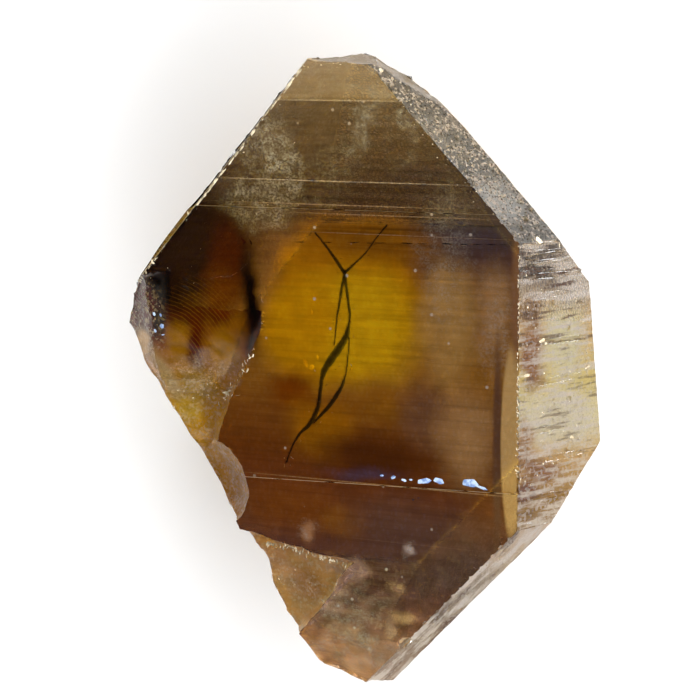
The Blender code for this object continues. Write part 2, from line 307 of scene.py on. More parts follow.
WEATHER = {
    # kind of surface: middle depth, then waves of (height, size along x, y and z, seed, octaves)
    "broken": (0.35, (0.2, (9, 9, 9), 3, 3), (0.04, (1.4, 1.4, 1.4), 5, 2)),
    "upper_right": (0.28, (0.3, (1.3, 1.3, 1.3), 11, 3), (0.22, (5, 5, 5), 12, 2)),
    "right_side": (0.22, (0.2, (9, 0.8, 9), 14, 3), (0.12, (3, 3, 3), 15, 2)),
    "lower_right": (0.22, (0.1, (2.5, 2.5, 2.5), 18, 2)),
    "hidden": (0.15, (0.14, (7, 1.4, 7), 19, 3)),
}
STILL = ("front", "rest", "left_slope", "ledge")  # kinds of surface that stay flat
RIPPLE_FROM = Vector((-50.3, 0, FRONT - 5)) - MIDDLE  # where the ripples of the left break start
RIPPLE_REACH = 34
RIPPLE_HEIGHT = 0.07
RIPPLE_LENGTH = 3.1
GROOVES_ALONG = Vector((-0.672, -0.741, 0))  # the way that the lower right face is grooved
GROOVES_ACROSS = GROOVES_ALONG.cross(FACES["lower_right"][1])
GROOVES = (0.2, (11, 0.9, 1), 17, 3)


def inward(name, p):
    """How deep the weathering goes at a point of one kind of surface, in millimetres."""
    if name in STILL:
        return 0
    depth, *waves = WEATHER.get(name, WEATHER["hidden"])
    depth += sum(height * cloud(p, *wave) for height, *wave in waves)
    if name == "broken":
        away = (Vector(p) - RIPPLE_FROM).length
        turn = 2 * math.pi * away / RIPPLE_LENGTH + 2 * cloud(p, (9, 9, 9), 8, 2)
        depth += max(0, 1 - away / RIPPLE_REACH) * RIPPLE_HEIGHT * math.sin(turn)
    if name == "lower_right":
        height, *wave = GROOVES
        q = Vector(p)
        depth += height * cloud((q.dot(GROOVES_ALONG), q.dot(GROOVES_ACROSS), 0), *wave)
    return max(depth, 0)


def soften(obj, kinds):
    """Lets the upper end of the break at the left run out smoothly into the front.

    Returns how far each vertex was eased up to the front, from 0 to 1.
    """
    mesh = obj.data
    co = read(mesh.vertices, "co", 3)
    places = co / MM + np.array(MIDDLE)
    depth = FRONT - places[:, 2]
    x, y = (places[:, :2] + depth[:, None] * np.array(BREAK_LEAN)).T
    ends = read(mesh.loops, "vertex_index", kind=int)
    totals = read(mesh.polygons, "loop_total", kind=int)
    corner_kinds = np.repeat(kinds, totals)
    rough = np.zeros(len(mesh.vertices), bool)
    rough[ends[corner_kinds == KINDS.index("broken")]] = True
    for kind in ("left_slope", "ledge", "left_back", "left_prism"):
        rough[ends[corner_kinds == KINDS.index(kind)]] = False
    share = smooth(y, -15, 11) * smooth(x, -60, -49) * (x < -20) * (depth < 8) * (y < 34)
    share = np.where(rough, share, 0)
    co[:, 2] += share * depth * MM
    mesh.vertices.foreach_set("co", co.ravel())
    mesh.update()
    flush = np.minimum.reduceat(share[ends], np.cumsum(totals) - totals) > 0.97
    kinds[flush] = KINDS.index("front")
    return share


def weather(obj, kinds, eased):
    """Moves the surface in by the depth that its kinds of surface ask for."""
    mesh = obj.data
    touching = [set() for _ in mesh.vertices]
    for poly, kind in zip(mesh.polygons, kinds):
        for v in poly.vertices:
            touching[v].add(kind)
    moved = np.empty((len(mesh.vertices), 3))
    normals = read(mesh.vertices, "normal", 3)
    rest = KINDS.index("rest")
    front = KINDS.index("front")
    ledge = KINDS.index("ledge")
    still = {KINDS.index(k) for k in STILL}
    for i, v in enumerate(mesh.vertices):
        if touching[i] <= still:
            moved[i] = v.co
            continue
        p = v.co / MM
        names = [KINDS[k] for k in touching[i]]
        depth = (1 - eased[i]) * sum(inward(n, p) for n in names) / len(names)
        moved[i] = v.co - Vector(normals[i]) * depth * MM
        if rest in touching[i] or ledge in touching[i]:
            moved[i] = v.co
        elif front in touching[i]:
            moved[i][2] = v.co.z
    moved = np.clip(moved, *(np.array(corner) for corner in cad_box))
    mesh.vertices.foreach_set("co", moved.ravel())
    mesh.update()


# ---------------------------------------------------------------- colours painted on the mesh

def rgb(r, g, b):
    """A colour given as it looks, 0 to 255, turned to the shader's own scale."""
    return tuple(
        c / 12.92 if c <= 0.04045 else ((c + 0.055) / 1.055) ** 2.4
        for c in (r / 255, g / 255, b / 255)
    ) + (1.0,)


# A surface's light: (share that it scatters, light from inside that it passes, plain gloss)
CLEAR = (0.22, (0.15, 0.10, 0.02), 0.0)
GLASSY = (0.20, (0.12, 0.08, 0.03), 0.035)
FROST = (0.34, (0.16, 0.13, 0.06), 0.04)
LEFT_CLEAR = (0.22, (0.26, 0.13, 0.03), 0.0)
LEFT_GLASSY = (0.20, (0.24, 0.11, 0.03), 0.008)


def tint(look, surface):
    """Base colour that makes the crystal look like `look`.

    A surface shows what it scatters times its base colour, and what it passes times the
    square root of it, because light is tinted by the root each time it crosses a surface.
    """
    scattered, passed, gloss = surface
    base = []
    for wanted, through in zip(rgb(*look), passed):
        wanted = max(wanted - gloss, 0.0015)
        root = (math.sqrt(through ** 2 + 4 * scattered * wanted) - through) / (2 * scattered)
        base.append(min(root ** 2, 1.0))
    return tuple(base) + (1.0,)


def smooth(value, low, high):
    """0 at `low`, 1 at `high`, eased between them."""
    share = np.clip((value - low) / (high - low), 0, 1)
    return share * share * (3 - 2 * share)


def oval(places, x, y, wide, high, turn=0.0, softness=0.5):
    """Mask of a soft oval, 1 in its middle; the places and sizes are in millimetres."""
    a = math.radians(turn)
    dx, dy = places[:, 0] - x, places[:, 1] - y
    u = (dx * math.cos(a) + dy * math.sin(a)) / wide
    v = (dy * math.cos(a) - dx * math.sin(a)) / high
    return smooth(np.hypot(u, v), 1 + softness, 1 - softness)


def clouded(places, amount, scale, seed):
    """Places pushed about by noise, so that what is painted there gets uneven edges."""
    pushed = np.empty_like(places)
    for i, (x, y) in enumerate(places):
        q = Vector((x / scale, y / scale, seed))
        push = noise.noise_vector(q) + 0.5 * noise.noise_vector(q * 2.3)
        pushed[i] = (x + amount * push.x, y + amount * push.y)
    return pushed


def mottled(places, amount, seed):
    """Brightness that drifts unevenly about 1 by `amount`."""
    drift = np.array([noise.noise(Vector((x / 3.4, y / 2.6, seed))) for x, y in places])
    return 1 + (amount * np.clip(2.4 * drift, -1, 1.6))[:, None]


def banded(height, surface, stops):
    """Colours that follow one another up the crystal: stops of (millimetres, colour)."""
    heights = [y for y, _ in stops]
    tints = np.array([tint(look, surface)[:3] for _, look in stops])
    return np.stack([np.interp(height, heights, tints[:, c]) for c in range(3)], axis=1)


def lay(colour, mask, look, surface):
    colour += (np.array(tint(look, surface)[:3]) - colour) * mask[:, None]


def lay_zones(colour, places, surface, zones):
    """Lays zones of (x, y, half width, half height, turn, softness, colour)."""
    for *shape, look in zones:
        lay(colour, oval(places, *shape), look, surface)


FRONT_BANDS = (
    (-84, (150, 116, 80)), (-76, (140, 106, 72)), (-70, (110, 80, 54)), (-64, (88, 62, 44)),
    (-58, (80, 57, 42)), (-50, (80, 55, 37)), (-42, (90, 58, 30)), (-34, (88, 52, 22)),
    (-26, (88, 52, 16)), (-16, (100, 64, 20)), (-6, (118, 82, 26)), (10, (106, 75, 34)),
    (24, (86, 59, 32)), (32, (62, 46, 30)), (37, (52, 40, 29)), (44, (60, 47, 33)),
    (54, (74, 60, 42)), (60.2, (82, 68, 48)), (60.7, (118, 101, 72)), (72, (134, 118, 92)),
)
# the crystal's golden and smoky colour, with painted light where light comes straight through it and
# painted shade where it is reflected away inside
FRONT_ZONES = (
    # x, y, half width, half height, turn, softness, colour
    (-2, 12, 20, 19, 0, 0.2, (132, 88, 7)),
    (-12, 2, 14, 11, 0, 0.35, (148, 106, 4)),
    (2, 6, 15, 13, 0, 0.5, (170, 128, 12)),
    (-13, 8, 9, 9, 0, 0.6, (158, 114, 4)),
    (4, 28, 15, 4, 0, 0.6, (106, 70, 12)),
    (-17, -11.5, 6.5, 4.6, 0, 0.6, (98, 54, 4)),
    (-9, -20, 8, 7, 0, 0.6, (124, 82, 6)),
    (7, -14, 9, 4, 0, 0.7, (112, 75, 18)),
    (5, -26, 14, 6, 0, 0.6, (66, 38, 12)),
    (24, 8, 6, 16, 0, 0.5, (136, 106, 54)),
    (35, 12, 4, 9, 0, 0.6, (134, 102, 58)),
    (19, -15, 6, 7, 0, 0.6, (92, 66, 40)),
    (29, -20, 7, 11, 0, 0.6, (132, 102, 60)),
    (32, 32, 12, 9, -40, 0.6, (62, 53, 47)),
    (21, 41, 13, 5, 0, 0.6, (54, 43, 34)),
    (-17, -41, 12, 6, 0, 0.7, (100, 60, 20)),
    (-4, -44, 5, 4, 0, 0.6, (112, 72, 18)),
    (16, -46, 17, 8, 0, 0.7, (86, 64, 46)),
    (24, -54, 12, 5, 20, 0.6, (74, 58, 45)),
    (9.8, -58, 1.9, 1.3, 0, 0.5, (134, 106, 76)),
    (12, -66.8, 3, 1.8, -20, 0.5, (152, 124, 80)),
    (8.6, -70.6, 1.4, 2.4, 0, 0.5, (164, 136, 98)),
    (3, -30.8, 9, 1.3, 2, 0.6, (66, 52, 56)),
    (-4, -61, 3, 8, -38, 0.5, (122, 94, 70)),
    (0, -56, 3.2, 2.6, 0, 0.5, (128, 102, 82)),
    (13.5, -49.2, 1.5, 0.8, 10, 0.5, (160, 142, 122)),
    (-12.4, -46.6, 1.1, 2.2, -15, 0.5, (140, 104, 66)),
)
LEFT_ZONES = (  # smoky brown and gold at the left, and a painted shadow where the break curves down; the same on the front and in the break
    (-46, 23, 21, 15, 0, 0.3, (34, 17, 9)),
    (-33.6, 20, 4.4, 10, 0, 0.6, (56, 20, 2)),
    (-36, 12, 5, 6, 0, 0.6, (78, 36, 3)),
    (-46, 7, 8, 4.5, -15, 0.6, (62, 32, 8)),
    (-51, 12, 8, 5, 0, 0.6, (28, 12, 6)),
    # painted shadow: the dark band where the break curves down from the front
    (-27.9, 11, 2.6, 13, 3, 0.5, (14, 4, 2)),
    (-28.4, 2, 1.2, 5, 0, 0.5, (40, 22, 6)),
    (-48, -2, 3.6, 5.5, 0, 0.5, (122, 78, 4)),
    (-43.3, -2, 2.2, 7, 0, 0.5, (66, 28, 4)),
    (-39.8, -1.5, 1.6, 7, 0, 0.5, (92, 52, 4)),
    (-35, -3.5, 4.4, 6.5, 0, 0.5, (122, 80, 4)),
    (-31.5, 3.5, 2.4, 4, 0, 0.6, (100, 60, 4)),
)
# a whitish, bluish veil on the front: partly dust, partly a painted sheen of reflected light
DUST_AND_SHEEN = (
    # strength, x, y, half width, half height, turn, softness
    (0.7, -21, 47, 6, 10, 20, 0.6), (0.5, -25, 36, 8, 6, 0, 0.5), (0.55, 3, 55, 2.4, 8, -20, 0.5),
    (0.15, -6, 43, 5, 5, 0, 0.7), (0.7, 15.5, 55, 3, 2.6, -45, 0.5), (0.3, 24, 24, 6, 14, 0, 0.7),
    (0.35, -4, -66, 12, 5, 0, 0.6), (0.3, 36, 8, 4, 12, 0, 0.7),
    (0.55, 0, -76, 12, 5, 0, 0.5), (0.5, -12.5, -46, 1.2, 2.4, -25, 0.6),
    (0.8, 13.5, -49, 1.4, 0.6, 0, 0.6), (0.15, 13, 47, 3, 1.6, 30, 0.6), (0.15, -9, 36, 6, 1.4, 0, 0.6),
)
BREAK_BANDS = (
    (-84, (170, 132, 88)), (-66, (142, 112, 78)), (-52, (148, 116, 80)), (-44, (122, 92, 50)),
    (-18, (140, 112, 36)), (-10, (128, 98, 14)), (-2, (100, 68, 6)), (6, (66, 36, 8)),
    (12, (40, 20, 9)), (30, (30, 16, 9)), (44, (60, 48, 34)), (58, (90, 80, 66)), (72, (108, 98, 84)),
)
BREAK_ZONES = (
    (-58, 5, 4.4, 9, 10, 0.4, (66, 48, 30)),
    (-58.6, -1.5, 1.8, 3.2, 20, 0.5, (140, 118, 90)),
    (-53.6, 4, 2.2, 4, 0, 0.5, (40, 26, 18)),
    (-44, -12.5, 7, 4.5, 0, 0.6, (110, 92, 6)),
    (-52, -10, 2.2, 7, 28, 0.5, (120, 106, 82)),
    (-46, -18, 4, 3, 0, 0.5, (134, 114, 62)),
    (-20, -57, 5, 4, 0, 0.6, (144, 112, 78)),
    (-13, -61, 4, 5, 20, 0.6, (126, 92, 62)),
    (-6, -70, 6, 3, 0, 0.6, (136, 96, 62)),
)
SIDE_BANDS = (
    (-44, (120, 100, 70)), (-34, (128, 102, 58)), (-24, (172, 142, 88)),
    (-14, (240, 216, 150)), (-4, (212, 180, 112)), (8, (186, 160, 108)),
    (17, (152, 140, 116)), (22, (98, 94, 86)), (30, (84, 82, 78)),
)
SIDE_ZONES = (
    (46.5, 22, 6, 3.6, 0, 0.5, (64, 55, 46)),
    (55, 20, 4, 6, 0, 0.5, (180, 174, 160)),
    (44.5, 12, 2.4, 4, 0, 0.5, (124, 98, 62)),
    (45, 1, 3, 8, 0, 0.5, (128, 92, 4)),
    (53, 5, 5, 9, 0, 0.6, (218, 198, 150)),
    (52, -14, 8, 6, 0, 0.6, (250, 226, 160)),
    (43.6, -22, 2.6, 7, 0, 0.5, (142, 112, 76)),
    (48, -27, 4, 2.4, -20, 0.5, (120, 86, 28)),
    (44, -32, 3, 3, 0, 0.5, (104, 72, 28)),
)
GREY_BANDS = (
    (20, (116, 122, 120)), (34, (128, 134, 132)), (48, (112, 118, 116)), (60, (98, 100, 96)),
    (72, (94, 92, 86)),
)
GREY_ZONES = (
    (27, 46, 5, 4, -45, 0.6, (100, 106, 104)),
    (36, 38, 5, 4, -45, 0.6, (160, 166, 162)),
    (20, 54, 4, 3, -45, 0.6, (116, 120, 116)),
    (45, 31, 5, 3, -45, 0.6, (112, 116, 112)),
)
BEIGE_BANDS = (
    (-84, (128, 110, 90)), (-70, (112, 96, 78)), (-58, (144, 134, 112)), (-48, (176, 162, 138)),
    (-38, (176, 158, 134)),
)
BEIGE_ZONES = (
    (30, -58, 6, 2, 45, 0.6, (134, 124, 106)),
    (20, -66, 6, 2, 45, 0.6, (90, 76, 60)),
)


def front_paint(places):
    """The broad striated face: colours, roughness and marks."""
    pushed = clouded(places, 2.2, 12, 1)
    torn = clouded(places, 3.5, 5, 2)
    colour = banded(places[:, 1], CLEAR, FRONT_BANDS)
    # golden and smoky colour, with painted light in the clear middle and painted shade around it
    lay_zones(colour, pushed, CLEAR, FRONT_ZONES)
    # smoky brown and gold at the left, with a painted shadow along the break's step
    lay_zones(colour, clouded(places, 1.0, 6, 3), LEFT_CLEAR, LEFT_ZONES)
    colour *= mottled(places, 0.12 + 0.3 * smooth(places[:, 1], -46, -62), 7)
    # the ragged veil of dust and painted sheen
    dust_and_sheen = np.zeros(len(places))
    for strength, *shape in DUST_AND_SHEEN:
        dust_and_sheen = np.maximum(dust_and_sheen, strength * oval(torn, *shape))
    # the crack's strands painted dark on the front above it as well: painted shade, so that the front's
    # pale veil does not light the crack
    for _, points in STRANDS:
        away, width = off_line(places, points)
        lay(colour, 0.9 * smooth(away, 0.62 * width + 0.15, 0.25 * width), (34, 20, 5), CLEAR)
    streaks = 0.28 + 0.5 * oval(places, 12, 36, 34, 9, 0, 0.6)
    return colour, 0.07 + 0.3 * dust_and_sheen, (dust_and_sheen, streaks, 0 * dust_and_sheen, 0 * dust_and_sheen)


def break_paint(places):
    """The shell-like breaks: smoky and golden on the left, tan towards the root."""
    pushed = clouded(places, 1.0, 6, 3)
    colour = banded(places[:, 1], GLASSY, BREAK_BANDS)
    # smoky brown and gold at the left, with a painted shadow along the break's step
    lay_zones(colour, pushed, LEFT_GLASSY, LEFT_ZONES)
    lay_zones(colour, pushed, GLASSY, BREAK_ZONES)
    colour *= mottled(places, 0.16 + 0 * places[:, 0], 8)
    low = smooth(places[:, 1], -2, -12)
    rim = np.maximum(low, oval(places, -58, 2, 5, 10))
    rim = np.maximum(rim, smooth(places[:, 1], 48, 60))
    return colour, 0.14 + 0.14 * rim, (0.1 * low, 0.15 + 0 * low, 0.3 * rim, 0 * low)


def side_paint(places):
    """The frosted right side: dark and striped high up, cream lower down."""
    pushed = clouded(places, 1.6, 5, 4)
    colour = banded(places[:, 1], FROST, SIDE_BANDS)
    lay_zones(colour, pushed, FROST, SIDE_ZONES)
    high = smooth(places[:, 1], -4, 20)
    return colour, 0.36 - 0.14 * high, (0 * high, 0 * high, 0.45 - 0.1 * high, 0.7 + 0.3 * high)


def hidden_paint(places):
    """The faces underneath: smoky gold, browner towards the root."""
    colour = np.tile(rgb(176, 134, 64)[:3], (len(places), 1))
    down = smooth(places[:, 1], -30, -56)[:, None]
    colour += (np.array(rgb(84, 58, 38)[:3]) - colour) * down
    full = np.ones(len(places))
    return colour, 0.55 * full, (0 * full, 0.3 * full, 0.3 * full, 0.2 * full)


def frosted(seed, bands, zones, roughness, *marks):
    """A painter for a frosted face, alike all over but for its colours."""
    def painter(places):
        colour = banded(places[:, 1], FROST, bands)
        lay_zones(colour, clouded(places, 2.0, 5, seed), FROST, zones)
        full = np.ones(len(places))
        return colour, roughness * full, tuple(mark * full for mark in marks)
    return painter


def plain(look, roughness, *marks):
    """A painter for a surface of one colour."""
    def painter(places):
        full = np.ones(len(places))
        colour = np.tile(rgb(*look)[:3], (len(places), 1))
        return colour, roughness * full, tuple(mark * full for mark in marks)
    return painter


PAINTS = {
    # kind of surface: how it is painted, the lean of its zones, its place among the masks;
    # the four marks are dust with a painted sheen, streaks, grains and stripes
    "front": (front_paint, BREAK_LEAN, 0),
    "broken": (break_paint, BREAK_LEAN, None),
    "right_side": (side_paint, SIDE_LEAN, 1),
    "upper_right": (frosted(5, GREY_BANDS, GREY_ZONES, 0.38, 0, 0, 1.0, 0.1), SIDE_LEAN, 1),
    "lower_right": (frosted(6, BEIGE_BANDS, BEIGE_ZONES, 0.36, 0, 0, 0.3, 0.2), SIDE_LEAN, 2),
    "rest": (plain((206, 168, 96), 0.5, 0, 0.2, 0.2, 0), BREAK_LEAN, None),
    "left_slope": (plain((255, 250, 236), 0.7, 0, 0.2, 0.2, 0), BREAK_LEAN, None),
    "ledge": (plain((250, 236, 208), 0.8, 0, 0, 0, 0), BREAK_LEAN, None),
}


def paint(mesh, kinds):
    """Writes each corner's colour and roughness, marks and kind as three attributes."""
    co = read(mesh.vertices, "co", 3) / MM + np.array(MIDDLE)
    corner_vertex = read(mesh.loops, "vertex_index", kind=int)
    corner_kind = np.repeat(kinds, read(mesh.polygons, "loop_total", kind=int))
    shade = np.ones((len(mesh.loops), 4))
    marks = np.zeros((len(mesh.loops), 4))
    parts = np.zeros((len(mesh.loops), 4))  # masks: front, right side, grooved lower right
    for number, kind in enumerate(KINDS):
        chosen = np.flatnonzero(corner_kind == number)
        if not len(chosen):
            continue
        painter, lean, mask = PAINTS.get(kind, (hidden_paint, BREAK_LEAN, None))
        used, again = np.unique(corner_vertex[chosen], return_inverse=True)
        places = co[used, :2] + (FRONT - co[used, 2:]) * np.array(lean)
        colour, roughness, amounts = painter(places)
        shade[chosen, :3] = colour[again]
        shade[chosen, 3] = roughness[again]
        marks[chosen] = np.stack(amounts, axis=1)[again]
        if mask is not None:
            parts[chosen, mask] = 1
    for name, values in (("shade", shade), ("marks", marks), ("parts", parts)):
        mesh.attributes.new(name, "FLOAT_COLOR", "CORNER").data.foreach_set("color", values.ravel())


def cut_crystal(node):
    """The finished crystal: the solid's own shape with weathered faces and breaks."""
    crystal = bpy.data.objects.new("citrine_crystal", node.data.copy())
    scene.collection.objects.link(crystal)
    weld(crystal)
    for name in [a.name for a in crystal.data.attributes if a.name.startswith("UV")]:
        crystal.data.attributes.remove(crystal.data.attributes[name])
    cut_grid(crystal)
    split_long_edges(crystal)
    kinds = kinds_of(crystal.data)
    weather(crystal, kinds, soften(crystal, kinds))
    paint(crystal.data, kinds)
    bpy.ops.object.shade_smooth_by_angle(angle=math.radians(CREST))
    flat = np.isin(kinds, [KINDS.index(k) for k in ("rest", "left_slope", "ledge")])
    level = read(crystal.data.polygons, "normal", 3)[:, 2] > LEVEL
    flat |= (kinds == KINDS.index("front")) & level
    crystal.data.polygons.foreach_set("use_smooth", ~flat)
    crystal.data.update()
    return crystal


# ---------------------------------------------------------------- material helpers

def new_material(name):
    """A material, its node tree and its shader."""
    material = bpy.data.materials.new(name)
    material.use_nodes = True
    return material, material.node_tree, material.node_tree.nodes["Principled BSDF"]


def add(tree, kind, settings=None, inputs=None):
    """A shader node with its settings and inputs; an input may be a value or a socket."""
    made = tree.nodes.new("ShaderNode" + kind)
    for key, value in (settings or {}).items():
        setattr(made, key, value)
    for key, value in (inputs or {}).items():
        if isinstance(value, bpy.types.NodeSocket):
            tree.links.new(value, made.inputs[key])
        else:
            made.inputs[key].default_value = value
    return made


def maths(tree, operation, a, b=0.0, c=0.0):
    return add(tree, "Math", {"operation": operation}, {0: a, 1: b, 2: c}).outputs[0]


def times(tree, a, b):
    return maths(tree, "MULTIPLY", a, b)


def vectors(tree, operation, a, b):
    return add(tree, "VectorMath", {"operation": operation}, {0: a, 1: b}).outputs[0]


def split(tree, colour):
    return add(tree, "SeparateColor", {}, {0: colour}).outputs


def blend(tree, share, under, over):
    """Colour `over` laid on `under` by `share`."""
    made = add(tree, "Mix", {"data_type": "RGBA"}, {0: share, 6: under, 7: over})
    return made.outputs[2]


def ranged(tree, value, low, high, to_low=0.0, to_high=1.0):
    made = add(
        tree, "MapRange", {"interpolation_type": "SMOOTHSTEP"},
        {"Value": value, "From Min": low, "From Max": high, "To Min": to_low, "To Max": to_high},
    )
    return made.outputs["Result"]


def most(tree, *masks):
    """The strongest of several masks."""
    strongest = masks[0]
    for mask in masks[1:]:
        strongest = maths(tree, "MAXIMUM", strongest, mask)
    return strongest


def new_group(name, inputs, outputs):
    """A node group with named sockets: {name: (socket type, default)}."""
    tree = bpy.data.node_groups.new(name, "ShaderNodeTree")
    for label, (kind, default) in inputs.items():
        socket = tree.interface.new_socket(
            label, in_out="INPUT", socket_type="NodeSocket" + kind
        )
        if default is not None:
            socket.default_value = default
    for label, kind in outputs.items():
        tree.interface.new_socket(label, in_out="OUTPUT", socket_type="NodeSocket" + kind)
    entry = tree.nodes.new("NodeGroupInput")
    leave = tree.nodes.new("NodeGroupOutput")
    return tree, entry.outputs, leave.inputs


def zone_group():
    """Lays a colour over another in a soft oval: full in its middle, nothing outside it."""
    tree, given, result = new_group(
        "zone",
        {"Colour": ("Color", None), "Vector": ("Vector", None),
         "Middle": ("Vector", (0, 0, 0)), "Reach": ("Vector", (0.01, 0.01, 1)),
         "Turn": ("Float", 0.0), "Softness": ("Float", 0.4), "Strength": ("Float", 1.0),
         "Shade": ("Color", None)},
        {"Colour": "Color", "Mask": "Float"},
    )
    away = vectors(tree, "SUBTRACT", given["Vector"], given["Middle"])
    turned = add(tree, "VectorRotate", {"rotation_type": "Z_AXIS"}, {
        "Vector": away, "Angle": given["Turn"]})
    scaled = vectors(tree, "DIVIDE", turned.outputs[0], given["Reach"])
    length = add(tree, "VectorMath", {"operation": "LENGTH"}, {0: scaled})
    inner = maths(tree, "SUBTRACT", 1.0, given["Softness"])
    outer = maths(tree, "ADD", 1.0, given["Softness"])
    inside = ranged(tree, length.outputs["Value"], inner, outer, 1.0, 0.0)
    mask = times(tree, inside, given["Strength"])
    tree.links.new(mask, result["Mask"])
    tree.links.new(blend(tree, mask, given["Colour"], given["Shade"]), result["Colour"])
    return tree


def growth_streaks_group():
    """Fine lines that run across the crystal, as its faces grew."""
    tree, given, result = new_group(
        "growth_streaks",
        {"Vector": ("Vector", None), "Along": ("Float", 25.0), "Across": ("Float", 900.0)},
        {"Lines": "Float"},
    )
    size = add(tree, "CombineXYZ", {}, {0: given["Along"], 1: given["Across"], 2: given["Along"]})
    place = vectors(tree, "MULTIPLY", given["Vector"], size.outputs[0])
    lines = add(tree, "TexNoise", {}, {
        "Vector": place, "Scale": 1.0, "Detail": 3.0, "Roughness": 0.6})
    tree.links.new(lines.outputs["Fac"], result["Lines"])
    return tree


def bright_specks_group():
    """Tiny scattered specks of dust and growth points."""
    tree, given, result = new_group(
        "bright_specks",
        {"Vector": ("Vector", None), "Scale": ("Float", 260.0), "Size": ("Float", 0.16),
         "Share": ("Float", 0.3)},
        {"Mask": "Float"},
    )
    cells = add(tree, "TexVoronoi", {}, {"Vector": given["Vector"], "Scale": given["Scale"]})
    near = ranged(
        tree, cells.outputs["Distance"], times(tree, given["Size"], 0.5),
        given["Size"], 1.0, 0.0)
    chosen = maths(tree, "LESS_THAN", split(tree, cells.outputs["Color"])[0], given["Share"])
    tree.links.new(times(tree, near, chosen), result["Mask"])
    return tree


def frost_group():
    """Sugary frost: a random brightness for each small grain, and slow drifts between them."""
    tree, given, result = new_group(
        "frost",
        {"Vector": ("Vector", None), "Scale": ("Float", 700.0)},
        {"Grain": "Float", "Height": "Float", "Drift": "Float"},
    )
    grains = add(tree, "TexVoronoi", {}, {"Vector": given["Vector"], "Scale": given["Scale"]})
    drift = add(tree, "TexNoise", {}, {
        "Vector": given["Vector"], "Scale": times(tree, given["Scale"], 0.3),
        "Detail": 3.0, "Roughness": 0.65})
    tree.links.new(split(tree, grains.outputs["Color"])[0], result["Grain"])
    tree.links.new(grains.outputs["Distance"], result["Height"])
    tree.links.new(drift.outputs["Fac"], result["Drift"])
    return tree


GROUPS = {}


def use_group(tree, name, outputs, **inputs):
    """Places one of the shared groups; returns its named outputs."""
    made = tree.nodes.new("ShaderNodeGroup")
    made.node_tree = GROUPS[name]
    for key, value in inputs.items():
        if isinstance(value, bpy.types.NodeSocket):
            tree.links.new(value, made.inputs[key])
        else:
            made.inputs[key].default_value = value
    found = [made.outputs[o] for o in outputs]
    return found[0] if len(found) == 1 else found


def stroke(tree, colour, vector, points, width, shade, strength):
    """A thin line through points of (x, y) in millimetres, laid on stretch by stretch."""
    for (x0, y0), (x1, y1) in zip(points, points[1:]):
        length = math.hypot(x1 - x0, y1 - y0)
        colour = use_group(
            tree, "zone", ["Colour"], Colour=colour, Vector=vector,
            Middle=((x0 + x1) / 2 * MM, (y0 + y1) / 2 * MM, 0),
            Reach=(0.56 * length * MM, width / 2 * MM, 1),
            Turn=-math.atan2(y1 - y0, x1 - x0), Softness=0.35, Strength=strength, Shade=shade)
    return colour


GRAIN = 1500.0  # grains of frost to a metre
GROOVES_TURN = -48  # degrees that the stripes turn by to follow the lower right face
ARCS_FROM = (-54, -9)  # middle of the arcs in the break at the left
FRONT_LINES = (
    # from x, to x, y, width, strength, colour
    (-18, 11, 60.5, 0.35, 0.8, (206, 188, 156)),
    (-30, 24, 41.1, 0.28, 0.7, (180, 162, 134)),
    (-30, 20, 35.4, 0.20, 0.5, (156, 138, 112)),
    (-12, 34, 33.2, 0.18, 0.5, (150, 130, 104)),
    (-10, 38, 28.6, 0.18, 0.4, (156, 134, 108)),
    (-24, 40, -33.2, 0.30, 0.6, (168, 136, 92)),
    (0, 30, -47.5, 0.20, 0.3, (130, 104, 84)),
)
STRIPS = (
    # x, y, half width, half height, softness, colour
    (36.6, -22, 1.1, 25, 0.5, (84, 62, 40)), (40.2, -20, 2.7, 23, 0.12, (166, 134, 80)),
    (41, 14, 1.2, 13, 0.5, (116, 86, 54)),
)


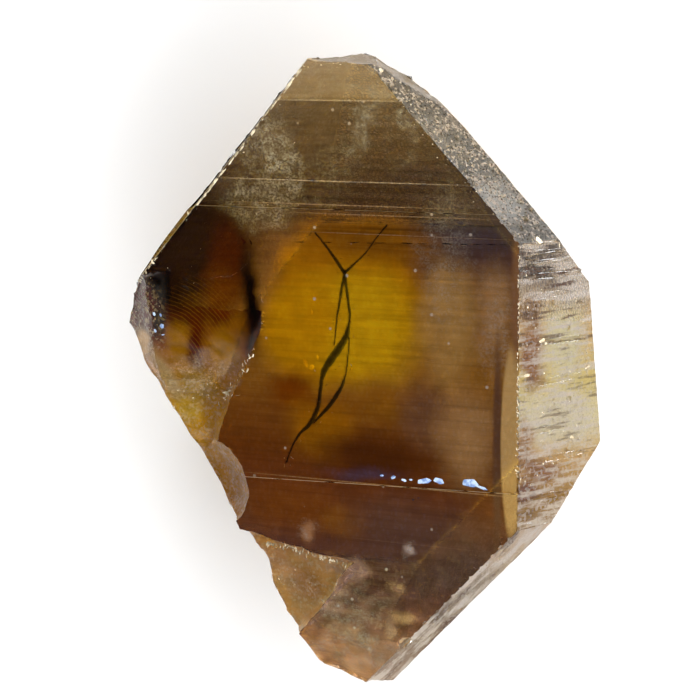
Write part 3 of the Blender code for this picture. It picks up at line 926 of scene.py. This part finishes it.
def citrine():
    """Smoky golden quartz: clear inside, striated in front, frosted and broken outside."""
    material, tree, shader = new_material("citrine")
    place = add(tree, "TexCoord").outputs["Object"]
    chart = vectors(tree, "ADD", place, tuple(MIDDLE * MM))
    under = add(tree, "SeparateXYZ", {}, {0: place})
    under = maths(tree, "SUBTRACT", FRONT * MM, under.outputs["Z"])
    kinds = add(tree, "Attribute", {"attribute_name": "parts"})
    front, right, grooved = split(tree, kinds.outputs["Color"])
    marks = add(tree, "Attribute", {"attribute_name": "marks"})
    dust_and_sheen, contrast, grainy = split(tree, marks.outputs["Color"])
    striped = marks.outputs["Alpha"]
    shade = add(tree, "Attribute", {"attribute_name": "shade"})

    # places led up along the lean of the colour zones, flattened to the front face
    lean = add(tree, "CombineXYZ", {}, {
        0: maths(tree, "MULTIPLY_ADD", right, SIDE_LEAN[0] - BREAK_LEAN[0], BREAK_LEAN[0]),
        1: maths(tree, "MULTIPLY_ADD", right, SIDE_LEAN[1] - BREAK_LEAN[1], BREAK_LEAN[1])})
    chart = add(tree, "VectorMath", {"operation": "MULTIPLY_ADD"}, {
        0: lean.outputs[0], 1: under, 2: chart})
    chart = vectors(tree, "MULTIPLY", chart.outputs[0], (1, 1, 0))
    turned = add(tree, "VectorRotate", {"rotation_type": "Z_AXIS"}, {
        "Vector": place, "Angle": times(tree, grooved, math.radians(GROOVES_TURN))}).outputs[0]

    lines = use_group(tree, "growth_streaks", ["Lines"], Vector=place, Along=24.0, Across=1100.0)
    bold = use_group(tree, "growth_streaks", ["Lines"], Vector=turned, Along=90.0, Across=620.0)
    grain, bumpy, drift = use_group(
        tree, "frost", ["Grain", "Height", "Drift"], Vector=place, Scale=GRAIN)
    speckle = add(tree, "TexNoise", {}, {
        "Vector": place, "Scale": 1900.0, "Detail": 2.0, "Roughness": 0.7}).outputs["Fac"]
    specks = use_group(
        tree, "bright_specks", ["Mask"], Vector=place, Scale=230.0, Size=0.12, Share=0.35)

    # streaks, stripes, grains, and dust with a painted sheen
    gain = maths(tree, "MULTIPLY_ADD", maths(tree, "SUBTRACT", lines, 0.5),
                 times(tree, contrast, 4.0), 1.0)
    colour = add(tree, "VectorMath", {"operation": "SCALE"}, {
        0: shade.outputs["Color"], "Scale": maths(tree, "MAXIMUM", gain, 0.25)}).outputs[0]
    striped = most(tree, striped, times(tree, grooved, 0.9))
    pale = times(tree, ranged(tree, bold, 0.48, 0.64), striped)
    colour = blend(tree, pale, colour, tint((226, 218, 198), FROST))
    dark = times(tree, ranged(tree, bold, 0.46, 0.34), striped)
    colour = blend(tree, dark, colour, tint((84, 66, 42), FROST))
    spark = times(tree, ranged(tree, grain, 0.6, 0.95), grainy)
    colour = blend(tree, spark, colour, tint((238, 234, 222), FROST))
    pit = times(tree, ranged(tree, speckle, 0.47, 0.36), times(tree, grainy, grainy))
    colour = blend(tree, pit, colour, tint((62, 60, 54), FROST))
    # the veil: dust, and a painted sheen of reflected light in a bluish white
    misty_sheen = times(tree, ranged(tree, speckle, 0.4, 0.62, 0.05, 1.0),
                 ranged(tree, drift, 0.38, 0.58, 0.2, 1.0))
    colour = blend(tree, times(tree, misty_sheen, dust_and_sheen), colour, tint((150, 149, 168), CLEAR))

    # fine golden arcs where the break at the left rippled out
    spread = add(tree, "VectorMath", {"operation": "DISTANCE"}, {
        0: chart, 1: (ARCS_FROM[0] * MM, ARCS_FROM[1] * MM, 0)}).outputs["Value"]
    ripple = maths(tree, "SINE", maths(tree, "MULTIPLY_ADD", drift, 5.0, maths(
        tree, "MULTIPLY", spread, 6.2 / MM)))
    arc_zone = use_group(
        tree, "zone", ["Mask"], Vector=chart, Middle=(-41 * MM, 3 * MM, 0),
        Reach=(9 * MM, 10 * MM, 1), Softness=0.5, Strength=0.22)
    colour = blend(tree, times(tree, ranged(tree, ripple, 0.7, 1.0), arc_zone),
                   colour, tint((140, 92, 14), LEFT_GLASSY))

    # strips, crisp lines, specks and worn edges
    for x, y, wide, high, softness, look in STRIPS:
        colour = use_group(
            tree, "zone", ["Colour"], Colour=colour, Vector=chart, Middle=(x * MM, y * MM, 0),
            Reach=(wide * MM, high * MM, 1), Softness=softness, Strength=front,
            Shade=tint(look, CLEAR))
    shown = times(tree, ranged(tree, speckle, 0.36, 0.5, 0.35, 1), front)
    for start, end, y, width, strength, look in FRONT_LINES:
        colour = stroke(
            tree, colour, chart, ((start, y), (end, y)), width, tint(look, CLEAR),
            times(tree, shown, strength))
    colour = blend(tree, times(tree, specks, times(tree, front, 0.8)),
                   colour, tint((222, 206, 176), CLEAR))
    tree.links.new(colour, shader.inputs["Base Color"])
    tree.links.new(shade.outputs["Alpha"], shader.inputs["Roughness"])

    # relief
    fine = times(tree, lines, times(tree, front, 0.1))
    coarse = times(tree, maths(tree, "MULTIPLY_ADD", bold, 1.2, bumpy),
                   most(tree, grainy, striped))
    relief = maths(tree, "ADD", fine, coarse)
    bump = add(tree, "Bump", {}, {"Strength": 0.5, "Distance": 0.0006, "Height": relief})
    tree.links.new(bump.outputs["Normal"], shader.inputs["Normal"])

    shader.inputs["IOR"].default_value = IOR
    shader.inputs["Specular Tint"].default_value = (0.7, 0.6, 0.5, 1)
    shader.inputs["Transmission Weight"].default_value = 0.85
    shader.inputs["Metallic"].default_value = 0.0
    depth = tree.nodes.new("ShaderNodeVolumeAbsorption")
    taken = (3.5, 6.0, 34.0)  # share of red, green and blue lost, per metre
    depth.inputs["Density"].default_value = max(taken)
    depth.inputs["Color"].default_value = tuple(1 - t / max(taken) for t in taken) + (1,)
    tree.links.new(depth.outputs[0], tree.nodes["Material Output"].inputs["Volume"])
    return material


# ---------------------------------------------------------------- cracks, flakes inside, painted glints and chips

# inclusions near the crack, painted bright gold as the glints of light that they reflect
GOLD_GLINT_FLAKES = (
    # x, y, half width, half height, turn, depth
    (-13.3, -4, 0.6, 1.2, 30, 7), (-11.6, -5, 0.6, 0.9, -40, 7), (-10, -2.4, 0.3, 0.7, 10, 7),
    (-13.8, -16.8, 0.22, 0.9, 5, 7), (-11.4, 9, 0.18, 0.8, 5, 7), (-12.7, -20.2, 0.5, 0.4, 30, 7),
)
WINDOW_GLINT_FLAKES = (
    # x, y, half width, half height, turn: pale blue flakes set in the surface as painted reflections of
    # a window, beside the long step, then in the left break
    (18.2, -31.2, 2.2, 0.8, 8), (21.9, -30.9, 1.6, 0.85, -20), (30, -30.7, 2.4, 1.2, -6),
    (32.8, -31.6, 1.9, 0.4, -18), (12.8, -31.5, 0.8, 0.4, -20), (10, -31.0, 0.8, 0.45, 20),
    (7, -30.8, 0.6, 0.3, 0), (14.6, -31.2, 0.5, 0.3, 0),
    (15, -36.2, 0.4, 0.3, 0), (16.4, -35.6, 0.3, 0.2, 0),
    (-55, 6, 0.6, 0.5, 0), (-53.1, 5.8, 0.5, 0.4, 0), (-52.8, 3, 0.7, 0.8, 20),
    (-54.8, 1.7, 0.6, 0.45, -20), (-52.6, 0.8, 0.2, 0.6, -20),
)
CHIP_LINES = (
    # line of (x, y), chips for each millimetre, sideways scatter, smallest, largest, lean
    (((-28.3, -3), (-29.6, -6), (-32, -9.5), (-34.4, -13), (-37.6, -16.2)),
     1.8, 0.35, 0.3, 0.9, "break"),
    (((-26.5, -51), (-22, -52), (-18, -51.6), (-13, -53.2), (-8, -53.6), (-4, -54.4), (-1, -56),
      (-3.4, -59), (-6, -62.4), (-8.6, -65.6), (-9.6, -69), (-13, -71.4)), 2.4, 0.3, 0.3, 0.9, "break"),
    (((41.5, 28), (41.5, -22)), 1.6, 0.12, 0.15, 0.5, "side"),
    (((41.5, -22), (41.5, -42)), 0.9, 0.25, 0.15, 0.4, "side"),
    (((9, 67), (41.7, 28.5)), 0.9, 0.3, 0.15, 0.4, "side"),
    (((40.5, -43), (12, -78)), 0.5, 0.3, 0.15, 0.4, "side"),
    (((42.5, 28.8), (54, 28.2)), 1.2, 0.4, 0.15, 0.5, "side"),
    (((-59.6, 13.6), (-13.4, 67.6)), 1.1, 0.12, 0.4, 1.2, "break"),
    (((-55, -9), (-49, -21)), 0.8, 0.8, 0.15, 0.4, "break"),
    (((-61, 9), (-58, -4)), 0.8, 1.5, 0.15, 0.35, "break"),
    (((-14, 68.5), (4, 69.5)), 0.8, 0.5, 0.15, 0.35, "break"),
)
CHIP_FIELDS = (
    # how many, middle x and y, half width, half height, turn, smallest, largest, lean
    (120, 27, 47, 4.5, 24, 41, 0.08, 0.22, "side"), (22, 52, -12, 7, 8, 0, 0.12, 0.3, "side"),
    (24, 53, 8, 6, 12, 0, 0.1, 0.28, "side"), (16, 47, -28, 5, 8, 0, 0.1, 0.3, "side"),
    (10, 46, 12, 3, 10, 0, 0.12, 0.3, "side"), (16, 34, -50, 3, 12, -48, 0.1, 0.25, "side"),
    (14, -42, -13, 7, 4, -20, 0.1, 0.25, "break"), (10, -16, -60, 6, 6, 0, 0.1, 0.25, "break"),
    (24, 0, -68, 14, 9, 0, 0.08, 0.2, "break"), (14, -22, 42, 8, 12, 0, 0.06, 0.16, "break"),
    (26, -44, 20, 12, 12, 0, 0.06, 0.16, "break"),
)
CHIP = 0.13  # half thickness of a chip, in millimetres
SUNK = 0.03  # how far its middle lies under the surface
UNDER = 0.01  # how far its top stays under the front face
EDGE = 0.5  # how far inside the crystal's own box it sits
GOLD = 0.1  # half thickness of a gold flake
WHITE_CHIPS = (
    # x, y, half width, half height, turn in degrees
    (47.5, 5, 0.6, 1.1, 20), (48.4, 4.3, 0.4, 0.5, 0), (43.4, -3.5, 0.45, 1.5, 0),
    (55.3, -18.7, 0.4, 0.9, 0), (46.3, 29, 1.1, 0.7, 0), (58.8, -1.5, 0.3, 1.8, 0),
    (7, 67.8, 0.8, 0.8, 0),
)


def strand(index, depth, points):
    """One strand of the inner crack: a flattened tube along its line."""
    line = bpy.data.curves.new(f"strand_{index}", "CURVE")
    line.dimensions = "3D"
    line.bevel_depth = 0.5 * MM
    line.bevel_resolution = 2
    line.resolution_u = 6
    line.use_fill_caps = True
    path = line.splines.new("BEZIER")
    path.bezier_points.add(len(points) - 1)
    for knot, (x, y, width) in zip(path.bezier_points, points):
        knot.co = seen_at(x, y, depth)
        knot.radius = width
        knot.handle_left_type = knot.handle_right_type = "AUTO"
    made = bpy.data.objects.new(f"strand_{index}", line)
    scene.collection.objects.link(made)
    only(made)
    bpy.ops.object.convert(target="MESH")
    made = bpy.context.object
    level = (FRONT - depth) * MM
    for v in made.data.vertices:
        v.co.z = level + (v.co.z - level) * 0.4 + 0.25 * MM * noise.noise(v.co / (2 * MM))
        v.co.x += 0.12 * MM * noise.noise(v.co / (0.7 * MM))
    weld(made)
    return made


def rough_scale():
    """A thin, uneven scale of crystal, one unit wide, that every flake and chip is copied from."""
    deselect()
    bpy.ops.mesh.primitive_ico_sphere_add(subdivisions=1, radius=1, location=(0, 0, 0))
    made = bpy.context.object
    made.name = "scale"
    for v in made.data.vertices:
        v.co *= 1 + 0.35 * noise.noise(v.co * 1.7)
    return made


def flake(scale, place, normal, wide, high, thick, turn):
    """A copy of the scale laid on a surface: half sizes and thickness in millimetres."""
    copy = bpy.data.objects.new("flake", scale.data.copy())
    scene.collection.objects.link(copy)
    flat = Matrix.Rotation(math.radians(turn), 4, "Z") @ Matrix.Diagonal(
        (wide * MM, high * MM, thick * MM, 1))
    copy.matrix_world = (
        Matrix.Translation(place) @ normal.to_track_quat("Z", "Y").to_matrix().to_4x4() @ flat)
    return copy


def seat(crystal, x, y, lean):
    """Place and normal of the surface that a colour zone at (x, y) falls on."""
    down = Vector((-lean[0], -lean[1], -1)).normalized()
    hit, place, normal, _ = crystal.ray_cast(at(x, y, FRONT) - down * 3 * MM, down)
    return (place, normal) if hit else (None, None)


def proud(scale, place, normal, wide, high, turn):
    """A chip set in the surface, a tenth of a millimetre proud but never above the front."""
    chip = flake(scale, place - normal * SUNK * MM, normal, wide, high, CHIP, turn)
    top = max((chip.matrix_world @ v.co).z for v in chip.data.vertices)
    chip.matrix_world.translation.z -= max(0, top - (FRONT - UNDER) * MM)
    return chip


def surface_chips(crystal, scale):
    """Small bright chips: along worn edges and crests, and scattered on the frosted faces."""
    rng = random.Random(11)
    leans = {"side": SIDE_LEAN, "break": BREAK_LEAN}
    spots = [(x, y, wide, high, turn, SIDE_LEAN) for x, y, wide, high, turn in WHITE_CHIPS]
    for points, per_mm, scatter, small, large, lean in CHIP_LINES:
        for (x0, y0), (x1, y1) in zip(points, points[1:]):
            length = math.hypot(x1 - x0, y1 - y0)
            turn = math.degrees(math.atan2(y1 - y0, x1 - x0))
            for _ in range(round(length * per_mm)):
                share = rng.random()
                x = x0 + share * (x1 - x0) + rng.gauss(0, scatter)
                y = y0 + share * (y1 - y0) + rng.gauss(0, scatter)
                size = rng.uniform(small, large)
                spots.append((x, y, size, size * rng.uniform(0.18, 0.4), turn, leans[lean]))
    for count, x, y, wide, high, turn, small, large, lean in CHIP_FIELDS:
        a = math.radians(turn)
        for _ in range(count):
            u, v = wide * rng.uniform(-1, 1), high * rng.uniform(-1, 1)
            size = rng.uniform(small, large)
            spots.append((
                x + u * math.cos(a) - v * math.sin(a), y + u * math.sin(a) + v * math.cos(a),
                size, size * rng.uniform(0.4, 0.9), rng.uniform(-30, 30), leans[lean]))
    chips = []
    low, high = (Vector(corner) for corner in cad_box)
    for x, y, wide, tall, turn, lean in spots:
        place, normal = seat(crystal, x, y, lean)
        inside = place is not None and all(
            a + EDGE * MM < c < b - EDGE * MM for a, b, c in zip(low[:2], high[:2], place[:2]))
        if inside:
            chips.append(proud(scale, place, normal, wide, tall, turn))
    return chips


def plain_finish(name, dark, pale, roughness):
    """A finish for a small piece: two shades in clouds, a little uneven."""
    material, tree, shader = new_material(name)
    place = add(tree, "TexCoord").outputs["Object"]
    _, bumpy, drift = use_group(
        tree, "frost", ["Grain", "Height", "Drift"], Vector=place, Scale=GRAIN)
    tree.links.new(
        blend(tree, ranged(tree, drift, 0.4, 0.6), rgb(*dark), rgb(*pale)),
        shader.inputs["Base Color"])
    bump = add(tree, "Bump", {}, {"Strength": 0.3, "Distance": 0.0003, "Height": bumpy})
    tree.links.new(bump.outputs["Normal"], shader.inputs["Normal"])
    shader.inputs["Roughness"].default_value = roughness
    return material


FINISHES = {
    # piece: its finish, the darker and the paler shade, and the roughness
    "inner_crack": ("crack_wall", (12, 7, 3), (40, 24, 9), 0.45),
    # bright gold: inclusions with painted glints
    "gold_glint_flakes": ("gold_glint_flake", (226, 186, 70), (250, 222, 130), 0.3),
    # pale blue: painted reflections of a window
    "window_glint_flakes": ("window_glint_flake", (116, 142, 190), (186, 206, 232), 0.3),
    "bright_chips": ("bright_chip", (160, 146, 118), (222, 208, 178), 0.4),
}


def joined(name, pieces):
    """Several small meshes as one piece with its own finish."""
    deselect()
    for piece in pieces:
        piece.select_set(True)
    bpy.context.view_layer.objects.active = pieces[0]
    bpy.ops.object.join()
    piece = bpy.context.object
    piece.name = name
    bpy.ops.object.transform_apply(location=True, rotation=True, scale=True)
    piece.data.materials.clear()
    piece.data.materials.append(plain_finish(*FINISHES[name]))
    return piece


def small_pieces(crystal):
    """The dark crack, the gold flakes inside as painted glints, the pale blue painted window glints and
    the bright chips on the surface.
    """
    crack = joined("inner_crack", [strand(i, d, p) for i, (d, p) in enumerate(STRANDS)])
    scale = rough_scale()
    up = Vector((0, 0, 1))
    # flakes inside, painted bright gold as glints of reflected light
    gold = joined("gold_glint_flakes", [
        flake(scale, seen_at(x, y, depth), up, wide, high, GOLD, turn)
        for x, y, wide, high, turn, depth in GOLD_GLINT_FLAKES])
    # pale blue flakes set in the surface: painted reflections of a window
    blue = []
    for x, y, wide, high, turn in WINDOW_GLINT_FLAKES:
        place, normal = seat(crystal, x, y, BREAK_LEAN)
        blue.append(proud(scale, place, normal, wide, high, turn))
    blue = joined("window_glint_flakes", blue)
    chips = joined("bright_chips", surface_chips(crystal, scale))
    bpy.data.objects.remove(scale)
    return crack, gold, blue, chips


# ---------------------------------------------------------------- assembly

set_camera()
lay_floor()
set_light()
for group in (zone_group(), growth_streaks_group(), bright_specks_group(), frost_group()):
    GROUPS[group.name] = group

crystal = cut_crystal(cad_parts["crystal"])
crystal.data.materials.clear()
crystal.data.materials.append(citrine())
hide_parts("crystal")
for piece in (crystal, *small_pieces(crystal)):
    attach(piece, "root")
